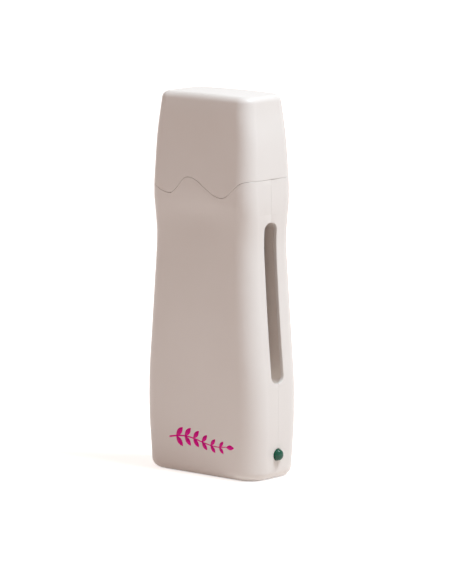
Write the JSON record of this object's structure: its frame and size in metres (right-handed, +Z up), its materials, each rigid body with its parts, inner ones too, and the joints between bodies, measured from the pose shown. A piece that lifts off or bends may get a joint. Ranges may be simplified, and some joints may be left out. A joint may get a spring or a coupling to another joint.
{
  "type": "roll-on wax heater",
  "caption": "Waisted hand-held heater for a roll-on wax cartridge, with a lift-off cap on a wavy joint, a window slot in each narrow side and a green pilot lamp.",
  "frame": {"origin": "centre of the casing's flat base, at the level that it stands on", "axes": "+Z up, +X across the broad front towards the side with the pilot lamp, -Y out of the front face"},
  "size_m": [0.0823, 0.0408, 0.205],
  "materials": {
    "casing_plastic": "fine satin ivory moulding",
    "well_plastic": "plain matt ivory moulding, heat resistant",
    "aluminium": "mill finish",
    "spring_steel": "plain sprung sheet",
    "screw_steel": "zinc plated",
    "brass": "plain stamped brass",
    "mica": "pressed mica sheet",
    "ptc_ceramic": "fired ceramic",
    "phenolic": "moulded phenolic",
    "green_lens": "glossy tinted dome",
    "lamp_glass": "clear glass",
    "resistor_paint": "lacquered",
    "black_plastic": "moulded inlet",
    "brown_wire": "silicone insulation",
    "blue_wire": "silicone insulation"
  },
  "bodies": {
    "casing": {"front_shell": "casing_plastic", "rear_shell": "casing_plastic", "cartridge_well": "well_plastic", "heater_plate": "aluminium", "thermostat_cup": "aluminium", "thermal_fuse": "aluminium", "heater_clamp": "spring_steel", "fuse_clip": "spring_steel", "thermostat_bracket": "spring_steel", "clamp_screw_left": "screw_steel", "clamp_screw_right": "screw_steel", "bracket_screw_left": "screw_steel", "bracket_screw_right": "screw_steel", "case_screw_lower_left": "screw_steel", "case_screw_lower_right": "screw_steel", "case_screw_upper_left": "screw_steel", "case_screw_upper_right": "screw_steel", "electrode_front": "brass", "electrode_rear": "brass", "thermostat_terminal_left": "brass", "thermostat_terminal_right": "brass", "inlet_pin_left": "brass", "inlet_pin_right": "brass", "mica_sheet_front": "mica", "mica_sheet_rear": "mica", "ptc_pill_lower": "ptc_ceramic", "ptc_pill_upper": "ptc_ceramic", "thermostat_body": "phenolic", "indicator_lens": "green_lens", "neon_lamp": "lamp_glass", "lamp_resistor": "resistor_paint", "power_inlet": "black_plastic", "wire_live": "brown_wire", "wire_thermostat": "brown_wire", "wire_fuse": "brown_wire", "wire_lamp": "brown_wire", "wire_neutral": "blue_wire"},
    "cap": {"cap": "casing_plastic"}
  },
  "joints": [
    {"name": "cap_lift", "type": "slide", "parent": "casing", "child": "cap", "axis": [0, 0, 1], "range_m": [0, 0.05]}
  ]
}
